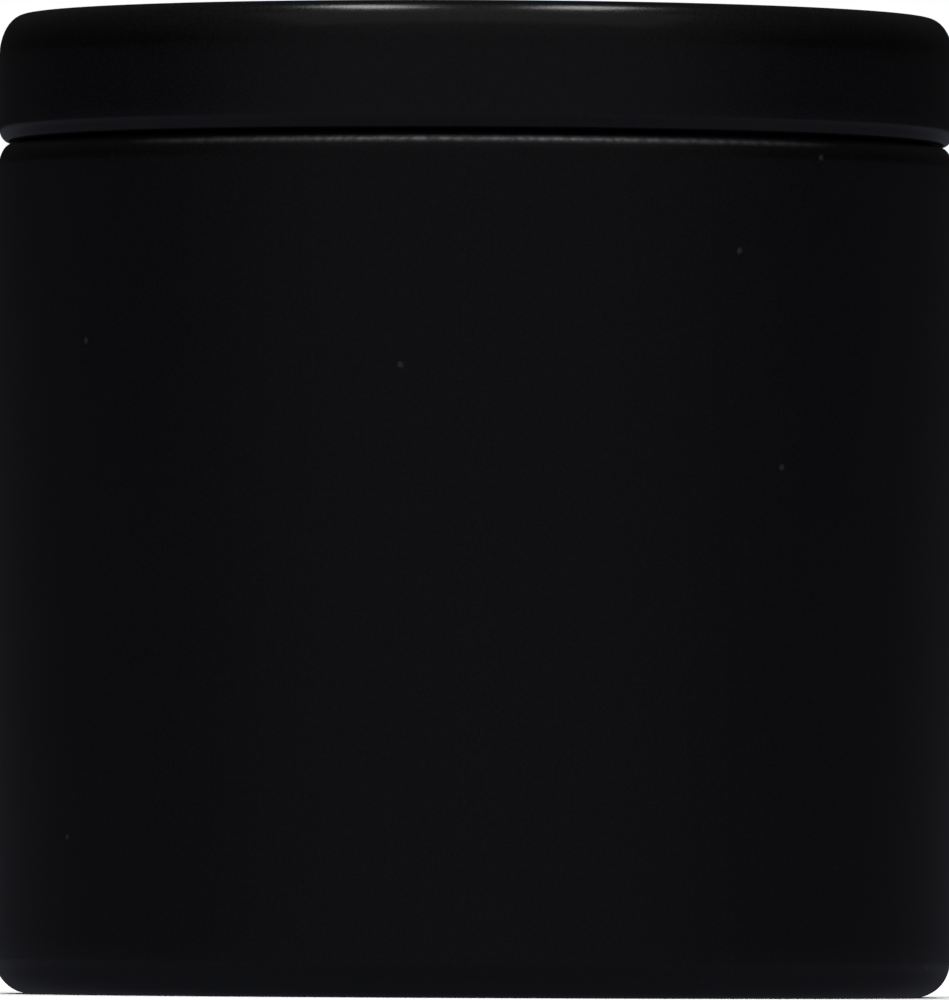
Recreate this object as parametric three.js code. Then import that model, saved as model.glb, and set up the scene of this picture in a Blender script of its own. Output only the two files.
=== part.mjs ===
// Candle tin: a seamless drawn body with a flush lift-off lid, a poured wax fill and its wick.
// Units are millimetres, +Z is up. The origin is on the tin's axis, in the plane it stands on.
// Everything is turned about that axis, so each piece is a profile of radius and height.

import * as THREE from 'three';

// Driving dimensions
const TIN_RADIUS = 38.5; // body and lid are flush
const TIN_HEIGHT = 78.9; // standing ring to the top of the closed lid
const SHEET = 0.28; // tinplate gauge
const SEAM_HEIGHT = 68.55; // the lid's lip meets the shoulder here
const SEAM_GAP = 0.1;

// Body
const BASE_CORNER = 2.9; // outside radius of the bottom corner
const PANEL_RADIUS = 32; // raised centre of the base
const PANEL_RISE = 1;
const PANEL_SLOPE = 1.2; // radial run of the step between the panel and the standing ring
const SHOULDER_WIDTH = 1.1; // the shoulder is a quarter oval
const SHOULDER_RISE = 1.9;
const NECK_FILLET = 0.5;
const MOUTH_ROLL = 0.9; // outside radius of the edge rolled into the mouth
const MOUTH_ROLL_TURN = 250; // degrees the edge is rolled through
const MOUTH_CLEARANCE = 0.4; // from the mouth to the inside of the lid

// Lid
const LID_CORNER_WIDTH = 2.1; // the top corner is a quarter oval
const LID_CORNER_DROP = 3.4;
const LIP_WIDTH = 0.88; // the lip is half an oval, rolled inwards and up
const LIP_DROP = 1.3;
const LID_RUNNING_GAP = 0.35; // from the lip to the neck, all round

// Wax, wick and what holds the wick
const FIT_GAP = 0.3; // between pieces that touch in the real tin
const WAX_TOP = 63;
const MENISCUS_RISE = 0.8; // the wax climbs the wall as it sets
const MENISCUS_WIDTH = 2.6;
const WICK_RADIUS = 1.3;
const WICK_TOP = 70;
const WICK_TIP_CHAMFER = 0.4;
const SUSTAINER_RADIUS = 10;
const SUSTAINER_GAUGE = 0.3;
const SUSTAINER_NECK_HEIGHT = 5.3;
const STICKER_RADIUS = 10;
const STICKER_THICKNESS = 0.8;

// Worked out from the above
const NECK_RADIUS = TIN_RADIUS - 2 * LIP_WIDTH - LID_RUNNING_GAP;
const MOUTH_TOP = TIN_HEIGHT - SHEET - MOUTH_CLEARANCE;
const SHOULDER_TOP = SEAM_HEIGHT - SEAM_GAP / 2;
const LIP_BOTTOM = SEAM_HEIGHT + SEAM_GAP / 2;
const BASE_INSIDE = PANEL_RISE + SHEET;

// Mesh fineness
const ROUND_SEGMENTS = 48; // shared by all that nests, so that the facets line up
const SMALL_SEGMENTS = 24;
const QUARTER_STEPS = 4; // straight steps in a 90 degree bend

const degrees = THREE.MathUtils.degToRad;

// One bend of an outline: an oval arc about (r, z), from one angle to another in degrees.
function bend(path, r, z, width, height, from, to) {
  path.absellipse(r, z, width, height, degrees(from), degrees(to), to < from);
}

// The points of a path made of straight runs and bends, without doubled points.
function pathPoints(path) {
  const points = [];
  for (const curve of path.curves) {
    const sweep = curve.isEllipseCurve ? Math.abs(curve.aEndAngle - curve.aStartAngle) : 0;
    const steps = Math.max(1, Math.round((QUARTER_STEPS * sweep) / (Math.PI / 2)));
    for (const point of curve.getPoints(steps)) {
      const last = points[points.length - 1];
      if (!last || last.distanceTo(point) > 1e-6) points.push(point);
    }
  }
  return points;
}

// The same outline moved sideways by a distance, to the left of its direction when positive.
function offsetPoints(points, distance) {
  const leftOf = (from, to) => {
    const along = to.clone().sub(from).normalize();
    return new THREE.Vector2(-along.y, along.x);
  };
  return points.map((point, i) => {
    const before = i > 0 ? leftOf(points[i - 1], point) : null;
    const after = i < points.length - 1 ? leftOf(point, points[i + 1]) : null;
    const side = (before ?? after).clone().add(after ?? before).normalize();
    return point.clone().addScaledVector(side, distance / side.dot(before ?? after));
  });
}

// A strip of sheet: the outline's own face, then the other face back to the start.
function sheetProfile(path, distance) {
  const outer = pathPoints(path);
  return [...outer, ...offsetPoints(outer, distance).reverse()];
}

// Turns a profile of (radius, height) points about +Z, with its faces pointing out.
// A profile that doesn't begin and end on the axis is a ring, and is closed here.
function turned(profile, segments) {
  const onAxis = profile[0].x < 1e-9 && profile[profile.length - 1].x < 1e-9;
  const outline = onAxis ? profile : [...profile, profile[0].clone()];
  const upwards = THREE.ShapeUtils.area(profile) > 0;
  const geometry = new THREE.LatheGeometry(upwards ? outline : outline.slice().reverse(), segments);
  return geometry.rotateX(Math.PI / 2);
}

// A named sub-part with its own finish.
function piece(name, profile, segments, finish) {
  const mesh = new THREE.Mesh(turned(profile, segments), new THREE.MeshStandardMaterial(finish));
  mesh.name = name;
  return mesh;
}

// The base's outer face, from the axis to the wall: raised panel, step, standing ring, corner.
function basePath() {
  const path = new THREE.Path();
  path.moveTo(0, PANEL_RISE);
  path.lineTo(PANEL_RADIUS, PANEL_RISE);
  path.lineTo(PANEL_RADIUS + PANEL_SLOPE, 0);
  path.lineTo(TIN_RADIUS - BASE_CORNER, 0);
  bend(path, TIN_RADIUS - BASE_CORNER, BASE_CORNER, BASE_CORNER, BASE_CORNER, -90, 0);
  return path;
}

// The whole body's outer face: base, wall, shoulder, neck and the edge rolled into the mouth.
function bodyPath() {
  const path = basePath();
  const shoulderStart = SHOULDER_TOP - SHOULDER_RISE;
  const rollHeight = MOUTH_TOP - MOUTH_ROLL;
  path.lineTo(TIN_RADIUS, shoulderStart);
  bend(path, TIN_RADIUS - SHOULDER_WIDTH, shoulderStart, SHOULDER_WIDTH, SHOULDER_RISE, 0, 90);
  path.lineTo(NECK_RADIUS + NECK_FILLET, SHOULDER_TOP);
  bend(path, NECK_RADIUS + NECK_FILLET, SHOULDER_TOP + NECK_FILLET, NECK_FILLET, NECK_FILLET, 270, 180);
  path.lineTo(NECK_RADIUS, rollHeight);
  bend(path, NECK_RADIUS - MOUTH_ROLL, rollHeight, MOUTH_ROLL, MOUTH_ROLL, 0, MOUTH_ROLL_TURN);
  return path;
}

// The lid's outer face: flat top, corner, skirt, and the lip rolled inwards and up.
function lidPath() {
  const path = new THREE.Path();
  const lipStart = LIP_BOTTOM + LIP_DROP;
  path.moveTo(0, TIN_HEIGHT);
  const [r, z] = [TIN_RADIUS - LID_CORNER_WIDTH, TIN_HEIGHT - LID_CORNER_DROP];
  path.lineTo(r, TIN_HEIGHT);
  bend(path, r, z, LID_CORNER_WIDTH, LID_CORNER_DROP, 90, 0);
  path.lineTo(TIN_RADIUS, lipStart);
  bend(path, TIN_RADIUS - LIP_WIDTH, lipStart, LIP_WIDTH, LIP_DROP, 0, -180);
  return path;
}

// The sustainer: a disc on the sticker, drawn up into a neck round the wick.
const STICKER_BOTTOM = BASE_INSIDE + FIT_GAP;
const SUSTAINER_BOTTOM = STICKER_BOTTOM + STICKER_THICKNESS + FIT_GAP;
const SUSTAINER_TOP = SUSTAINER_BOTTOM + SUSTAINER_NECK_HEIGHT;
const SUSTAINER_BORE = WICK_RADIUS + FIT_GAP;
const SUSTAINER_BEND = 0.7;

function sustainerPath() {
  const path = new THREE.Path();
  path.moveTo(SUSTAINER_RADIUS, SUSTAINER_BOTTOM);
  path.lineTo(SUSTAINER_BORE + SUSTAINER_BEND, SUSTAINER_BOTTOM);
  const [r, z] = [SUSTAINER_BORE + SUSTAINER_BEND, SUSTAINER_BOTTOM + SUSTAINER_BEND];
  bend(path, r, z, SUSTAINER_BEND, SUSTAINER_BEND, 270, 180);
  path.lineTo(SUSTAINER_BORE, SUSTAINER_TOP);
  return path;
}

// The wax: it fills the base and wall with a fit gap, and leaves room for the wick's pieces.
function waxProfile() {
  const wallPath = basePath();
  wallPath.lineTo(TIN_RADIUS, WAX_TOP + MENISCUS_RISE);
  const wall = offsetPoints(pathPoints(wallPath), SHEET + FIT_GAP);
  const edge = wall[wall.length - 1];
  const pocket = SUSTAINER_RADIUS + FIT_GAP;
  const neckPocket = SUSTAINER_BORE + SUSTAINER_GAUGE + FIT_GAP;
  const pocketTop = SUSTAINER_BOTTOM + SUSTAINER_GAUGE + FIT_GAP;
  const neckPocketTop = SUSTAINER_TOP + FIT_GAP;

  const path = new THREE.Path();
  path.moveTo(edge.x, edge.y);
  bend(path, edge.x - MENISCUS_WIDTH, edge.y, MENISCUS_WIDTH, MENISCUS_RISE, 0, -90);
  path.lineTo(SUSTAINER_BORE, WAX_TOP);
  path.lineTo(SUSTAINER_BORE, neckPocketTop);
  path.lineTo(neckPocket, neckPocketTop);
  path.lineTo(neckPocket, pocketTop);
  path.lineTo(pocket, pocketTop);
  path.lineTo(pocket, BASE_INSIDE + FIT_GAP);
  return [...wall.slice(1, -1), ...pathPoints(path)];
}

function wickProfile() {
  const path = new THREE.Path();
  path.moveTo(0, SUSTAINER_BOTTOM);
  path.lineTo(WICK_RADIUS, SUSTAINER_BOTTOM);
  path.lineTo(WICK_RADIUS, WICK_TOP - WICK_TIP_CHAMFER);
  path.lineTo(WICK_RADIUS - WICK_TIP_CHAMFER, WICK_TOP);
  path.lineTo(0, WICK_TOP);
  return pathPoints(path);
}

function stickerProfile() {
  const path = new THREE.Path();
  path.moveTo(0, STICKER_BOTTOM);
  path.lineTo(STICKER_RADIUS, STICKER_BOTTOM);
  path.lineTo(STICKER_RADIUS, STICKER_BOTTOM + STICKER_THICKNESS);
  path.lineTo(0, STICKER_BOTTOM + STICKER_THICKNESS);
  return pathPoints(path);
}

// The finished tin, closed. The lid lifts straight up along +Z.
const BLACK_LACQUER = { color: 0x101114, roughness: 0.5, metalness: 0 };
const WAX = { color: 0xf1e9d6, roughness: 0.55, metalness: 0 };
const COTTON = { color: 0xece6d8, roughness: 0.9, metalness: 0 };
const PLATED_STEEL = { color: 0xc8cacd, roughness: 0.3, metalness: 1 };
const FOAM = { color: 0xf4f4f2, roughness: 0.8, metalness: 0 };

const tin = new THREE.Group();
tin.add(
  piece('tin_body', sheetProfile(bodyPath(), SHEET), ROUND_SEGMENTS, BLACK_LACQUER),
  piece('lid', sheetProfile(lidPath(), -SHEET), ROUND_SEGMENTS, BLACK_LACQUER),
  piece('wax_fill', waxProfile(), ROUND_SEGMENTS, WAX),
  piece('wick', wickProfile(), SMALL_SEGMENTS, COTTON),
  piece('wick_sustainer', sheetProfile(sustainerPath(), -SUSTAINER_GAUGE), SMALL_SEGMENTS, PLATED_STEEL),
  piece('wick_sticker', stickerProfile(), SMALL_SEGMENTS, FOAM)
);

export default tin;
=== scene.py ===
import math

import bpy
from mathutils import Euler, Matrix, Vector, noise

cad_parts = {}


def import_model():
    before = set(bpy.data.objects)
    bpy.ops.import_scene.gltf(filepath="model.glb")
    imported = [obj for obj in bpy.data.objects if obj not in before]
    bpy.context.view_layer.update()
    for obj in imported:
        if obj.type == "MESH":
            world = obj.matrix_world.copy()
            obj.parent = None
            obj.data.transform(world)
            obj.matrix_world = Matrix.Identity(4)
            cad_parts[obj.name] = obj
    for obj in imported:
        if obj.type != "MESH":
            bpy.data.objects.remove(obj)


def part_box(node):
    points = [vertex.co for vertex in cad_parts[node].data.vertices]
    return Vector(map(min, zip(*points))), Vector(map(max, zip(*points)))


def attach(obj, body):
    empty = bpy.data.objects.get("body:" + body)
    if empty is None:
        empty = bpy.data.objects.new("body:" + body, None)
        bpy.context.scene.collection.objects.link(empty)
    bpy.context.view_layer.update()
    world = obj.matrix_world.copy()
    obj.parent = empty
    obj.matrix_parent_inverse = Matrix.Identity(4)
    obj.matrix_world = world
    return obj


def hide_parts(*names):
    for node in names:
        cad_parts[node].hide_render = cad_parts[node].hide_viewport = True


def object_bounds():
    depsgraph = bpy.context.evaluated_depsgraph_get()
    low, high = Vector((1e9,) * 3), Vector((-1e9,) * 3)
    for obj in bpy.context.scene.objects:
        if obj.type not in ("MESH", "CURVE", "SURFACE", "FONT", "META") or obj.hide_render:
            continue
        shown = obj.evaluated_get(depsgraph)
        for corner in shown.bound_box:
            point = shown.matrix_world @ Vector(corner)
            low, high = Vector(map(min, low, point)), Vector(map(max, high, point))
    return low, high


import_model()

# Looks of the candle tin: black satin lacquer over tinplate, poured wax and a braided wick.
# Metres, +Z up. Every piece is built round the tin's axis and replaces the CAD node of its shape.

cad_low, cad_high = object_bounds()
MM = 0.001

# ---------------------------------------------------------------- sizes, from the frame
TIN_RADIUS = cad_high.x
TIN_HEIGHT = cad_high.z
LIP_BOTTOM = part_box("lid")[0].z
MOUTH_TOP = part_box("tin_body")[1].z
WAX_LOW, WAX_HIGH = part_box("wax_fill")
WICK_LOW, WICK_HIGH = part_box("wick")
DISC_LOW, DISC_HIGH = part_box("wick_sustainer")
STICKER_LOW, STICKER_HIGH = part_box("wick_sticker")

# ---------------------------------------------------------------- sizes of the pressed shapes and the wax
SHEET = 0.28 * MM
SEAM_GAP = 0.1 * MM
NECK_GAP = 0.35 * MM
FILL_GAP = 0.3 * MM
SHOULDER_TOP = LIP_BOTTOM - SEAM_GAP
BASE_CORNER = 2.9 * MM
PANEL_RADIUS = 32 * MM
PANEL_RISE = 1 * MM
PANEL_SLOPE = 1.2 * MM
PANEL_BEND = 0.7 * MM
SHOULDER_WIDTH = 1.1 * MM
SHOULDER_RISE = 1.9 * MM
NECK_FILLET = 0.5 * MM
MOUTH_ROLL = 0.9 * MM
LID_CORNER_WIDTH = 2.1 * MM
LID_CORNER_DROP = 3.4 * MM
LIP_WIDTH = 0.88 * MM
LIP_DROP = 1.3 * MM
NECK_RADIUS = TIN_RADIUS - 2 * LIP_WIDTH - NECK_GAP
MENISCUS_WIDTH = 2.6 * MM
MENISCUS_RISE = 0.8 * MM
WAX_TOP = WAX_HIGH.z - MENISCUS_RISE
WICK_BORE = 1.6 * MM
DISC_GAUGE = 0.3 * MM

# Where the lacquer is rubbed thin: a band on the shoulder's crest, in front and at two places behind. The
# band in front is partly wear and partly painted highlight: its place, reach and metal colour are set to
# give the bright line along the seam.
# Angles are in degrees, anticlockwise from +X.
CREST = SHOULDER_TOP - 0.61 * MM
CREST_REACH = 0.40 * MM
# The centre at -89 degrees faces the camera and places the painted highlight on the crest.
WEAR_AND_HIGHLIGHT_CENTRES = (-89, 35, 140)
WEAR_AND_HIGHLIGHT_PEAK = 1.4
WEAR_AND_HIGHLIGHT_REACH = 34

ROUND_SEGMENTS = 256
SMALL_SEGMENTS = 64


# ---------------------------------------------------------------- outlines
class Outline:
    """A line of (radius, height) points, drawn with straight runs and oval bends."""

    def __init__(self, r, z):
        self.points = [(r, z)]

    def to(self, r, z, steps=1):
        """A straight run to (r, z)."""
        r0, z0 = self.points[-1]
        for i in range(1, steps + 1):
            t = i / steps
            self.points.append((r0 + (r - r0) * t, z0 + (z - z0) * t))
        return self

    def bend(self, r, z, width, height, start, end, steps):
        """An oval arc about (r, z), from one angle to another in degrees."""
        for i in range(steps + 1):
            a = math.radians(start + (end - start) * i / steps)
            point = (r + width * math.cos(a), z + height * math.sin(a))
            if math.dist(point, self.points[-1]) > 1e-7:
                self.points.append(point)
        return self


def moved_aside(points, distance):
    """The same outline moved sideways: to the left of its direction when distance is positive."""
    def left_of(a, b):
        length = math.dist(a, b)
        return Vector((-(b[1] - a[1]) / length, (b[0] - a[0]) / length))

    moved = []
    for i, point in enumerate(points):
        before = left_of(points[i - 1], point) if i > 0 else None
        after = left_of(point, points[i + 1]) if i < len(points) - 1 else None
        side = ((before or after) + (after or before)).normalized()
        step = side * (distance / side.dot(before or after))
        moved.append((point[0] + step.x, point[1] + step.y))
    return moved


# ---------------------------------------------------------------- meshes
def turned(name, outline, segments, closed=False):
    """Turns an outline about +Z. A closed outline is a ring; any other begins and ends on the axis."""
    verts, rows = [], []
    for r, z in outline:
        if r < 1e-7:
            rows.append([len(verts)] * segments)
            verts.append((0, 0, z))
            continue
        rows.append(range(len(verts), len(verts) + segments))
        for k in range(segments):
            a = 2 * math.pi * k / segments
            verts.append((r * math.cos(a), r * math.sin(a), z))
    faces = []
    pairs = list(zip(rows, rows[1:])) + ([(rows[-1], rows[0])] if closed else [])
    for low, high in pairs:
        for k in range(segments):
            n = (k + 1) % segments
            face = [low[k], low[n], high[n], high[k]]
            faces.append([v for j, v in enumerate(face) if v not in face[:j]])
    return mesh_object(name, verts, faces)


def mesh_object(name, verts, faces):
    mesh = bpy.data.meshes.new(name)
    mesh.from_pydata(verts, [], faces)
    mesh.validate()
    mesh.shade_smooth()
    mesh.set_sharp_from_angle(angle=math.radians(40))
    piece = bpy.data.objects.new(name, mesh)
    bpy.context.collection.objects.link(piece)
    return piece


def add_mask(piece, name, value):
    """A float attribute on the points, worked out from each point's place."""
    mask = piece.data.attributes.new(name, "FLOAT", "POINT")
    mask.data.foreach_set("value", [value(v.co) for v in piece.data.vertices])


def wear_and_highlight(p):
    """How far the lacquer is rubbed at a point, from 0 to 1. Partly wear, partly painted highlight: the
    lobe in front sets where the seam highlight shows.
    """
    azimuth = math.degrees(math.atan2(p.y, p.x))
    worn_and_highlit = 0.0
    for centre in WEAR_AND_HIGHLIGHT_CENTRES:
        away = abs((azimuth - centre + 180) % 360 - 180)
        worn_and_highlit = max(worn_and_highlit, WEAR_AND_HIGHLIGHT_PEAK - away / WEAR_AND_HIGHLIGHT_REACH)
    across = max(0.0, 1 - abs(p.z - CREST) / CREST_REACH) ** 2
    return min(1.0, worn_and_highlit) * across


# ---------------------------------------------------------------- node helpers
class Nodes:
    """A node tree, built by short calls."""

    def __init__(self, tree):
        self.tree = tree

    def add(self, kind, **settings):
        node = self.tree.nodes.new(kind)
        for key, value in settings.items():
            setattr(node, key, value)
        return node

    def link(self, source, target):
        self.tree.links.new(source, target)

    def remap(self, value, from_low, from_high, to_low, to_high, kind="LINEAR"):
        """The value's range from_low to from_high, stretched to to_low to to_high and held at its ends."""
        node = self.add("ShaderNodeMapRange", interpolation_type=kind)
        for i, number in enumerate((from_low, from_high, to_low, to_high)):
            node.inputs[i + 1].default_value = number
        self.link(value, node.inputs[0])
        return node.outputs[0]


class Material(Nodes):
    """A material with one principled shader, whose sockets are fed by nodes."""

    def __init__(self, name):
        self.material = bpy.data.materials.new(name)
        self.material.use_nodes = True
        super().__init__(self.material.node_tree)
        self.shader = self.tree.nodes["Principled BSDF"]

    def place(self, scale=(1, 1, 1)):
        """The point's own coordinates, in millimetres times scale."""
        coords = self.add("ShaderNodeTexCoord")
        mapping = self.add("ShaderNodeMapping")
        mapping.inputs["Scale"].default_value = [s / MM for s in scale]
        self.link(coords.outputs["Object"], mapping.inputs["Vector"])
        return mapping.outputs["Vector"]

    def noise(self, vector, scale, detail, rough=0.5):
        node = self.add("ShaderNodeTexNoise")
        node.inputs["Scale"].default_value = scale
        node.inputs["Detail"].default_value = detail
        node.inputs["Roughness"].default_value = rough
        self.link(vector, node.inputs["Vector"])
        return node.outputs["Fac"]

    def cells(self, vector, scale):
        """The distance to the nearest of scattered points."""
        node = self.add("ShaderNodeTexVoronoi", feature="F1")
        node.inputs["Scale"].default_value = scale
        self.link(vector, node.inputs["Vector"])
        return node.outputs["Distance"]

    def math(self, operation, a, b):
        node = self.add("ShaderNodeMath", operation=operation)
        for socket, value in zip(node.inputs, (a, b)):
            if isinstance(value, (int, float)):
                socket.default_value = value
            else:
                self.link(value, socket)
        return node.outputs[0]

    def mix(self, factor, a, b):
        """Colour a where factor is 0 and colour b where it is 1."""
        node = self.add("ShaderNodeMix", data_type="RGBA")
        self.link(factor, node.inputs["Factor"])
        for socket, value in ((node.inputs[6], a), (node.inputs[7], b)):
            if isinstance(value, tuple):
                socket.default_value = (*value, 1)
            else:
                self.link(value, socket)
        return node.outputs[2]

    def mask(self, name):
        """A value stored on the mesh's points."""
        return self.add("ShaderNodeAttribute", attribute_name=name).outputs["Fac"]

    def bump(self, height, strength, distance):
        node = self.add("ShaderNodeBump")
        node.inputs["Strength"].default_value = strength
        node.inputs["Distance"].default_value = distance
        self.link(height, node.inputs["Height"])
        self.link(node.outputs["Normal"], self.shader.inputs["Normal"])

    def set(self, **values):
        """Sets or links the shader's sockets, by name."""
        for key, value in values.items():
            socket = self.shader.inputs[key.replace("_", " ")]
            if isinstance(value, tuple):
                size = len(socket.default_value)
                socket.default_value = (*value, 1)[:size]
            elif isinstance(value, (int, float)):
                socket.default_value = value
            else:
                self.link(value, socket)


# ---------------------------------------------------------------- materials
def lacquer(name, roughness, ior):
    """Black satin lacquer: a fine grain, faint mottling, dust specks, and patches rubbed to metal. The
    rubbed metal on the body's shoulder crest in front is also a painted highlight.
    """
    n = Material(name)
    place = n.place()
    grain = n.noise(place, 5.0, 4)
    powder = n.remap(n.noise(place, 5.0, 3), 0.35, 0.65, 0, 1)
    mottle = n.noise(place, 0.09, 3)
    patchy = n.remap(n.noise(place, 1.8, 3), 0.35, 0.65, 0.45, 1.0)
    rub_and_highlight = n.math("MULTIPLY", n.mask("rub_and_highlight"), patchy)

    ragged = n.remap(n.noise(place, 9.0, 2), 0.3, 0.7, -0.012, 0.012)
    dust = n.remap(n.math("ADD", n.cells(place, 0.11), ragged), 0.020, 0.032, 1, 0)

    dark = n.mix(mottle, (0.0035, 0.0034, 0.0037), (0.0055, 0.0054, 0.0058))
    base = n.mix(powder, dark, (0.0135, 0.0134, 0.0142))
    # Bare metal where the rub mask is: partly wear, partly a painted highlight along the shoulder crest.
    worn_and_highlit = n.mix(rub_and_highlight, base, (0.60, 0.60, 0.61))
    color = n.mix(dust, worn_and_highlit, (0.10, 0.10, 0.10))
    rough = n.remap(grain, 0.3, 0.7, roughness - 0.02, roughness + 0.02)
    rough = n.math("ADD", rough, n.remap(mottle, 0.3, 0.7, -0.015, 0.015))
    rough = n.math("ADD", rough, n.math("MULTIPLY", rub_and_highlight, 0.04))
    n.set(Base_Color=color, Metallic=rub_and_highlight, Roughness=rough, IOR=ior)
    n.bump(grain, 0.22, 0.02 * MM)
    return n.material


def bare_tinplate():
    """The inside of the pressings: bright tin with fine rings left by drawing, and a grey bloom."""
    n = Material("bare_tinplate")
    place = n.place((0.15, 0.15, 9.0))
    rings = n.noise(place, 1.0, 2)
    bloom = n.noise(n.place(), 0.16, 4)
    color = n.mix(bloom, (0.58, 0.58, 0.57), (0.74, 0.735, 0.72))
    n.set(Base_Color=color, Metallic=1.0, Roughness=n.remap(rings, 0.3, 0.7, 0.24, 0.38))
    n.bump(rings, 0.12, 0.02 * MM)
    return n.material


def plated_steel():
    """The sustainer: bright nickel-like plating with press marks."""
    n = Material("plated_steel")
    marks = n.noise(n.place(), 1.3, 4)
    color = n.mix(marks, (0.56, 0.56, 0.57), (0.70, 0.70, 0.71))
    n.set(Base_Color=color, Metallic=1.0, Roughness=n.remap(marks, 0.3, 0.7, 0.22, 0.36))
    n.bump(marks, 0.1, 0.03 * MM)
    return n.material


def wax_material():
    """Poured soy wax: creamy, slightly clouded, with a soft satin skin."""
    n = Material("poured_wax")
    place = n.place()
    cloud = n.noise(place, 0.10, 4, 0.55)
    frost = n.noise(place, 1.6, 5, 0.6)
    color = n.mix(cloud, (0.86, 0.79, 0.64), (0.93, 0.88, 0.76))
    n.set(
        Base_Color=color,
        Roughness=n.remap(frost, 0.3, 0.7, 0.42, 0.60),
        Subsurface_Weight=0.35,
        Subsurface_Radius=(1.0, 0.7, 0.4),
        Subsurface_Scale=2.0 * MM,
        IOR=1.44,
    )
    n.bump(frost, 0.10, 0.06 * MM)
    return n.material


def cotton():
    """Wick yarn: waxed cotton with fibres along each strand."""
    n = Material("wick_cotton")
    fibres = n.noise(n.place((9.0, 9.0, 2.5)), 1.0, 4)
    color = n.mix(fibres, (0.70, 0.66, 0.56), (0.88, 0.85, 0.77))
    n.set(Base_Color=color, Roughness=n.remap(fibres, 0.3, 0.7, 0.65, 0.85), Sheen_Weight=0.2)
    n.bump(fibres, 0.5, 0.05 * MM)
    return n.material


def foam():
    """The sticker: white closed-cell foam."""
    n = Material("sticker_foam")
    cells = n.cells(n.place(), 6.0)
    color = n.mix(cells, (0.90, 0.90, 0.88), (0.78, 0.78, 0.76))
    n.set(Base_Color=color, Roughness=n.remap(cells, 0, 1, 0.7, 0.9))
    n.bump(cells, 0.3, 0.05 * MM)
    return n.material


TINPLATE = bare_tinplate()


# ---------------------------------------------------------------- the pressings
def base_outline():
    """The base's outer face: raised panel, step, standing ring and corner."""
    corner = TIN_RADIUS - BASE_CORNER
    line = Outline(0, PANEL_RISE).to(PANEL_RADIUS * 0.5, PANEL_RISE, 4)
    slope = math.degrees(math.atan2(PANEL_RISE, PANEL_SLOPE))
    reach = PANEL_BEND * math.tan(math.radians(slope) / 2)
    line.to(PANEL_RADIUS - reach, PANEL_RISE, 4)
    line.bend(PANEL_RADIUS - reach, PANEL_RISE - PANEL_BEND, PANEL_BEND, PANEL_BEND, 90, 90 - slope, 6)
    foot = PANEL_RADIUS + PANEL_SLOPE + reach
    line.bend(foot, PANEL_BEND, PANEL_BEND, PANEL_BEND, 270 - slope, 270, 6)
    line.to(corner, 0, 2)
    line.bend(corner, BASE_CORNER, BASE_CORNER, BASE_CORNER, -90, 0, 16)
    return line


def pressed(name, node, outer, gauge, finish):
    """A turned strip of sheet: the outer face has its own finish and the inner face is bare tinplate.
    The sheet lies to the left of the outer outline's direction, or to the right where gauge is negative."""
    inner = moved_aside(outer, gauge)[::-1]
    piece = turned(name, outer + inner, ROUND_SEGMENTS)
    piece.data.materials.append(finish)
    piece.data.materials.append(TINPLATE)
    outer_faces = (len(outer) - 1) * ROUND_SEGMENTS
    for face in piece.data.polygons:
        face.material_index = 0 if face.index < outer_faces else 1
    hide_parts(node)
    return piece


def tin_body():
    """The base and wall, drawn in at the shoulder to the neck, with the mouth rolled inwards."""
    wall_top = SHOULDER_TOP - SHOULDER_RISE
    neck_top = MOUTH_TOP - MOUTH_ROLL
    line = base_outline().to(TIN_RADIUS, wall_top, 40)
    line.bend(TIN_RADIUS - SHOULDER_WIDTH, wall_top, SHOULDER_WIDTH, SHOULDER_RISE, 0, 90, 36)
    line.to(NECK_RADIUS + NECK_FILLET, SHOULDER_TOP)
    line.bend(NECK_RADIUS + NECK_FILLET, SHOULDER_TOP + NECK_FILLET, NECK_FILLET, NECK_FILLET, 270, 180, 8)
    line.to(NECK_RADIUS, neck_top, 8)
    line.bend(NECK_RADIUS - MOUTH_ROLL, neck_top, MOUTH_ROLL, MOUTH_ROLL, 0, 250, 30)
    piece = pressed("tin_shell", "tin_body", line.points, SHEET, lacquer("body_lacquer", 0.30, 1.46))
    # The rub mask: worn lacquer on the crest, and in front a painted highlight band.
    add_mask(piece, "rub_and_highlight", wear_and_highlight)
    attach(piece, "tin")


def lid():
    """The flat top, its corner, the skirt and the lip rolled inwards. Nothing on it is rubbed, so it
    carries no painted highlight band.
    """
    skirt_low = LIP_BOTTOM + LIP_DROP
    r, z = TIN_RADIUS - LID_CORNER_WIDTH, TIN_HEIGHT - LID_CORNER_DROP
    line = Outline(0, TIN_HEIGHT).to(r, TIN_HEIGHT, 8)
    line.bend(r, z, LID_CORNER_WIDTH, LID_CORNER_DROP, 90, 0, 24)
    line.to(TIN_RADIUS, skirt_low, 6)
    line.bend(TIN_RADIUS - LIP_WIDTH, skirt_low, LIP_WIDTH, LIP_DROP, 0, -180, 32)
    piece = pressed("lid_shell", "lid", line.points, -SHEET, lacquer("lid_lacquer", 0.21, 1.52))
    piece.data.flip_normals()  # the outline runs downwards, so its faces are made facing inwards
    add_mask(piece, "rub_and_highlight", lambda p: 0.0)
    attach(piece, "lid")


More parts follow.
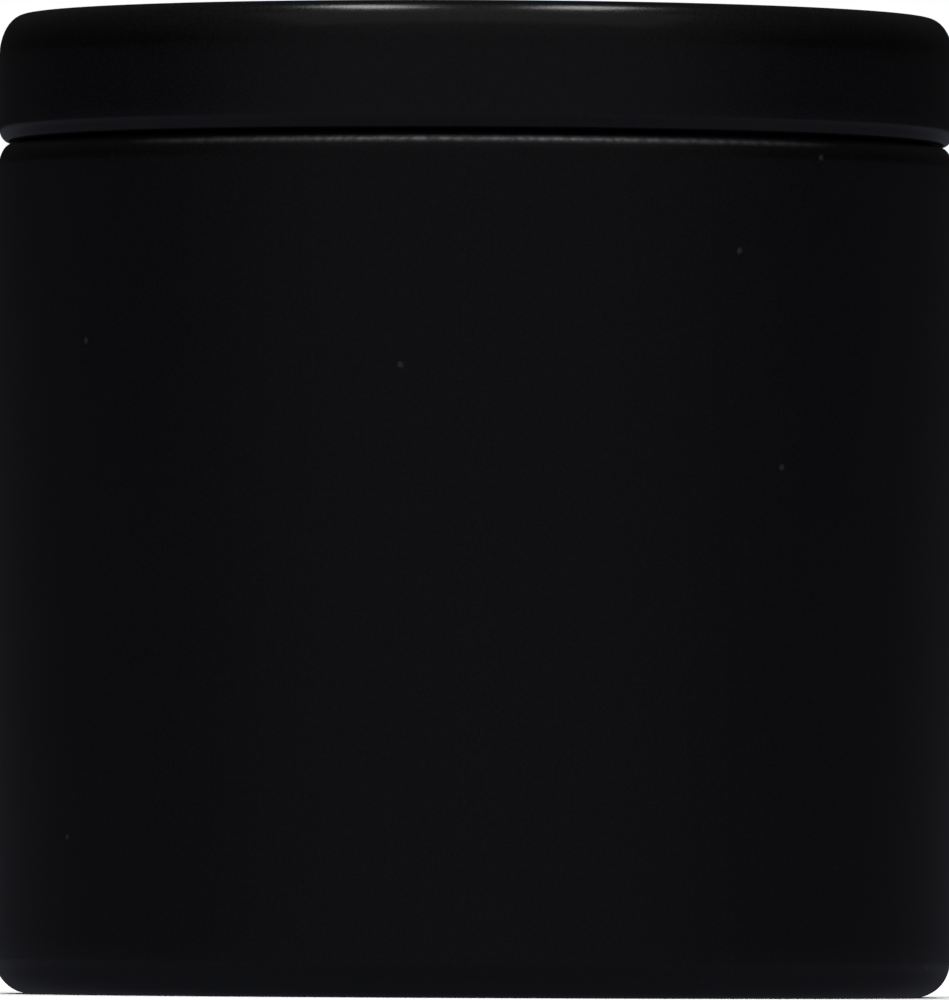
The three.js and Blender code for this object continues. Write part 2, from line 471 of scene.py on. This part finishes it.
# ---------------------------------------------------------------- the candle
def wax_fill():
    """The wax, with the rise at the wall, a slight dip round the wick and faint ripples."""
    wall = moved_aside(base_outline().to(TIN_RADIUS, WAX_HIGH.z, 12).points, SHEET + FILL_GAP)[1:]
    dip = 4 * MM
    dip_depth = 0.5 * MM
    disc_room = DISC_GAUGE + FILL_GAP
    edge_r, edge_z = wall[-1]
    line = Outline(edge_r, edge_z)
    line.bend(edge_r - MENISCUS_WIDTH, edge_z, MENISCUS_WIDTH, MENISCUS_RISE, 0, -90, 14)
    line.to(dip, WAX_TOP, 40)
    line.bend(dip, WAX_TOP + dip_depth, dip - WICK_BORE, dip_depth, 270, 180, 8)
    line.to(WICK_BORE, DISC_HIGH.z + FILL_GAP, 4)
    line.to(WICK_BORE + disc_room, DISC_HIGH.z + FILL_GAP)
    line.to(WICK_BORE + disc_room, DISC_LOW.z + disc_room)
    line.to(DISC_HIGH.x + FILL_GAP, DISC_LOW.z + disc_room)
    line.to(DISC_HIGH.x + FILL_GAP, WAX_LOW.z)
    piece = turned("wax", wall[:-1] + line.points, ROUND_SEGMENTS, closed=True)
    for v in piece.data.vertices:
        r = math.hypot(v.co.x, v.co.y)
        if v.co.z > WAX_TOP - 0.2 * MM and r < edge_r - 0.5 * MM:
            ripple = noise.noise(v.co * 90) * 0.10 * MM + noise.noise(v.co * 320) * 0.03 * MM
            v.co.z += ripple * min(1, (edge_r - r) / (3 * MM)) * min(1, (r - WICK_BORE) / (2 * MM) + 0.2)
    piece.data.materials.append(wax_material())
    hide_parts("wax_fill")
    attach(piece, "tin")
    return piece


def add_strand(verts, faces, path, radius, sides):
    """Adds a round yarn along a path, closed at both ends."""
    rings = []
    for i, point in enumerate(path):
        ahead = path[min(i + 1, len(path) - 1)] - path[max(i - 1, 0)]
        along = ahead.normalized()
        side = along.cross(Vector((along.y, -along.x, 0.3))).normalized()
        up = along.cross(side)
        rings.append(range(len(verts), len(verts) + sides))
        for k in range(sides):
            a = 2 * math.pi * k / sides
            verts.append(point + (side * math.cos(a) + up * math.sin(a)) * radius)
    for low, high in zip(rings, rings[1:]):
        for k in range(sides):
            n = (k + 1) % sides
            faces.append((low[k], low[n], high[n], high[k]))
    faces.append(tuple(rings[0])[::-1])
    faces.append(tuple(rings[-1]))


def wick():
    """A braid over a core: two sets of yarns wind opposite ways and pass over and under each other."""
    yarns, turns_per_metre, steps = 6, 150, 300
    radius, weave_depth = 0.33 * MM, 0.15 * MM
    middle = WICK_HIGH.x - radius - weave_depth - 0.01 * MM
    low, high = WICK_LOW.z + 0.1 * MM, WICK_HIGH.z - 0.25 * MM
    verts, faces = [], []
    for way in (1, -1):
        for y in range(yarns):
            path = []
            for i in range(steps + 1):
                z = low + (high - low) * i / steps
                turn = 2 * math.pi * (way * turns_per_metre * (z - low) + y / yarns)
                weave = way * math.cos(yarns * 2 * math.pi * turns_per_metre * (z - low))
                r = middle + weave_depth * weave
                path.append(Vector((r * math.cos(turn), r * math.sin(turn), z)))
            add_strand(verts, faces, path, radius, 8)
    core = [Vector((0, 0, low + (high - low) * i / 40)) for i in range(41)]
    add_strand(verts, faces, core, middle - 0.05 * MM, 16)
    piece = mesh_object("wick_braid", verts, faces)
    piece.data.materials.append(cotton())
    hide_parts("wick")
    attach(piece, "tin")
    return piece


def wick_sustainer():
    """The pressed disc, with a shallow raised bead, drawn up into a neck round the wick."""
    neck_bend = 0.7 * MM
    bead_radius, bead_width, bead_rise = 7.4 * MM, 0.6 * MM, 0.12 * MM
    line = Outline(DISC_HIGH.x, DISC_LOW.z).to(bead_radius + bead_width, DISC_LOW.z, 2)
    line.bend(bead_radius, DISC_LOW.z, bead_width, bead_rise, 0, 180, 8)
    line.to(WICK_BORE + neck_bend, DISC_LOW.z, 4)
    line.bend(WICK_BORE + neck_bend, DISC_LOW.z + neck_bend, neck_bend, neck_bend, 270, 180, 8)
    line.to(WICK_BORE, DISC_HIGH.z, 4)
    outline = line.points + moved_aside(line.points, -DISC_GAUGE)[::-1]
    piece = turned("wick_foot", outline[::-1], SMALL_SEGMENTS, closed=True)
    piece.data.materials.append(plated_steel())
    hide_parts("wick_sustainer")
    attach(piece, "tin")
    return piece


def wick_sticker():
    """The foam disc under the sustainer, with softened edges."""
    edge = 0.12 * MM
    r, low, high = STICKER_HIGH.x, STICKER_LOW.z, STICKER_HIGH.z
    line = Outline(0, low).to(r - edge, low, 3)
    line.bend(r - edge, low + edge, edge, edge, -90, 0, 4)
    line.bend(r - edge, high - edge, edge, edge, 0, 90, 4)
    line.to(0, high, 3)
    piece = turned("sticker", line.points, SMALL_SEGMENTS)
    piece.data.materials.append(foam())
    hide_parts("wick_sticker")
    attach(piece, "tin")
    return piece


# ---------------------------------------------------------------- studio
CAMERA_DISTANCE = 1.8
CAMERA_HEIGHT = 9.3 * MM
CAMERA_ROLL = 0.0048
AIM_HEIGHT = 39.97 * MM
VIEW_HEIGHT = 80.645 * MM  # what the camera takes in at the tin's axis, from bottom to top

# How bright the surroundings are behind the tin and in front of it
WALL_GLOW = (0.012, 0.125)
CEILING_GLOW = (0.040, 0.170)
NEAR_TABLE_GLOW = (0.060, 0.150)
FAR_TABLE_GLOW = (0.075, 0.190)
ROOM_COLOR = (0.93, 0.92, 1.0)
TABLE_COLOR = (0.78, 0.80, 1.0)


def camera():
    """A long lens just above the table, tilted up at the tin."""
    data = bpy.data.cameras.new("camera")
    data.sensor_width = 36
    data.lens = data.sensor_width * CAMERA_DISTANCE / VIEW_HEIGHT
    data.clip_start, data.clip_end = 0.05, 60
    cam = bpy.data.objects.new("camera", data)
    bpy.context.collection.objects.link(cam)
    cam.location = (0, -CAMERA_DISTANCE, CAMERA_HEIGHT)
    pitch = math.atan2(AIM_HEIGHT - CAMERA_HEIGHT, CAMERA_DISTANCE)
    turn = Euler((math.pi / 2 + pitch, 0, 0)).to_quaternion()
    roll = Euler((0, 0, CAMERA_ROLL)).to_quaternion()
    cam.rotation_euler = (turn @ roll).to_euler()
    bpy.context.scene.camera = cam


def softbox(name, azimuth, elevation, distance, width, height, radiance):
    """An area lamp aimed at the tin. Azimuth 0 is in front, elevation above the horizon, in degrees."""
    data = bpy.data.lights.new(name, "AREA")
    data.shape = "RECTANGLE"
    data.size, data.size_y = width, height
    data.energy = radiance * math.pi * width * height
    lamp = bpy.data.objects.new(name, data)
    bpy.context.collection.objects.link(lamp)
    a, e = math.radians(azimuth), math.radians(elevation)
    away = Vector((math.sin(a) * math.cos(e), -math.cos(a) * math.cos(e), math.sin(e)))
    target = Vector((0, 0, TIN_HEIGHT * 0.6))
    lamp.location = target + away * distance
    lamp.rotation_euler = away.to_track_quat("Z", "Y").to_euler()
    lamp.visible_camera = False
    return lamp


def floor():
    """A pale floor that the tin doesn't reflect: world() has the table that it reflects instead."""
    size = 20
    verts = [(-size, -size, 0), (size, -size, 0), (size, size, 0), (-size, size, 0)]
    piece = mesh_object("studio_floor", verts, [(0, 1, 2, 3)])
    n = Material("pale_floor")
    n.set(Base_Color=(0.86, 0.86, 0.86), Roughness=0.9)
    piece.data.materials.append(n.material)
    piece.visible_glossy = False
    piece.visible_diffuse = False
    return piece


def world():
    """White to the camera. To everything else a dim room with a bright wall in front of the tin,
    over a pale table that is seen only in reflections."""
    w = bpy.data.worlds.new("studio")
    bpy.context.scene.world = w
    w.use_nodes = True
    w.node_tree.nodes.clear()
    n = Nodes(w.node_tree)
    coords = n.add("ShaderNodeTexCoord")
    direction = n.add("ShaderNodeSeparateXYZ")
    n.link(coords.outputs["Generated"], direction.inputs[0])
    back = direction.outputs["Y"]
    up = direction.outputs["Z"]

    def background(color, strength):
        node = n.add("ShaderNodeBackground")
        node.inputs["Color"].default_value = (*color, 1)
        if isinstance(strength, float):
            node.inputs["Strength"].default_value = strength
        else:
            n.link(strength, node.inputs["Strength"])
        return node.outputs[0]

    def mix(factor, a, b):
        node = n.add("ShaderNodeMixShader")
        for socket, source in zip(node.inputs, (factor, a, b)):
            n.link(source, socket)
        return node.outputs[0]

    walls = background(ROOM_COLOR, n.remap(back, -0.05, -0.95, *WALL_GLOW, "SMOOTHSTEP"))
    ceiling = background(ROOM_COLOR, n.remap(back, 0.3, -0.8, *CEILING_GLOW))
    near_table = background(TABLE_COLOR, n.remap(back, 0.9, -0.3, *NEAR_TABLE_GLOW, "SMOOTHSTEP"))
    far_table = background(TABLE_COLOR, n.remap(back, 1.0, 0.0, *FAR_TABLE_GLOW))
    upper = mix(n.remap(up, 0.15, 0.9, 0, 1), walls, ceiling)
    table = mix(n.remap(up, -0.25, 0.0, 0, 1), near_table, far_table)
    room = mix(n.remap(up, -0.025, 0.01, 0, 1), table, upper)
    path = n.add("ShaderNodeLightPath")
    out = n.add("ShaderNodeOutputWorld")
    n.link(mix(path.outputs["Is Camera Ray"], room, background((1, 1, 1), 1.0)), out.inputs["Surface"])


def overhead_light(name, irradiance, spread):
    """Light from straight above that is the same everywhere, from a patch of sky of that many degrees."""
    data = bpy.data.lights.new(name, "SUN")
    data.energy = irradiance
    data.angle = math.radians(spread)
    lamp = bpy.data.objects.new(name, data)
    bpy.context.collection.objects.link(lamp)
    return lamp


def only_lights(lamp, *pieces):
    """Makes a lamp light these pieces alone."""
    lit = bpy.data.collections.new(lamp.name)
    bpy.context.scene.collection.children.link(lit)
    for piece in pieces:
        lit.objects.link(piece)
    lamp.light_linking.receiver_collection = lit


def studio(candle):
    """Two lamps over the sides, a weak one in front, and others for the floor and the candle alone."""
    camera()
    world()
    ground = floor()
    for side, azimuth, radiance in (("left", -82, 8.0), ("right", 82, 7.0)):
        softbox(f"top_softbox_{side}", azimuth, 76, 1.6, 0.45, 0.26, radiance)
    softbox("front_softbox", 0, 58, 1.2, 2.0, 0.85, 0.12)
    only_lights(overhead_light("floor_light", 4.1, 62), ground)
    for azimuth in (-60, 60, 180):
        only_lights(softbox(f"candle_light_{azimuth}", azimuth, 38, 1.2, 0.9, 0.6, 4.0), *candle)
    bpy.context.scene.view_settings.view_transform = "Standard"


tin_body()
lid()
studio((wax_fill(), wick(), wick_sustainer(), wick_sticker()))
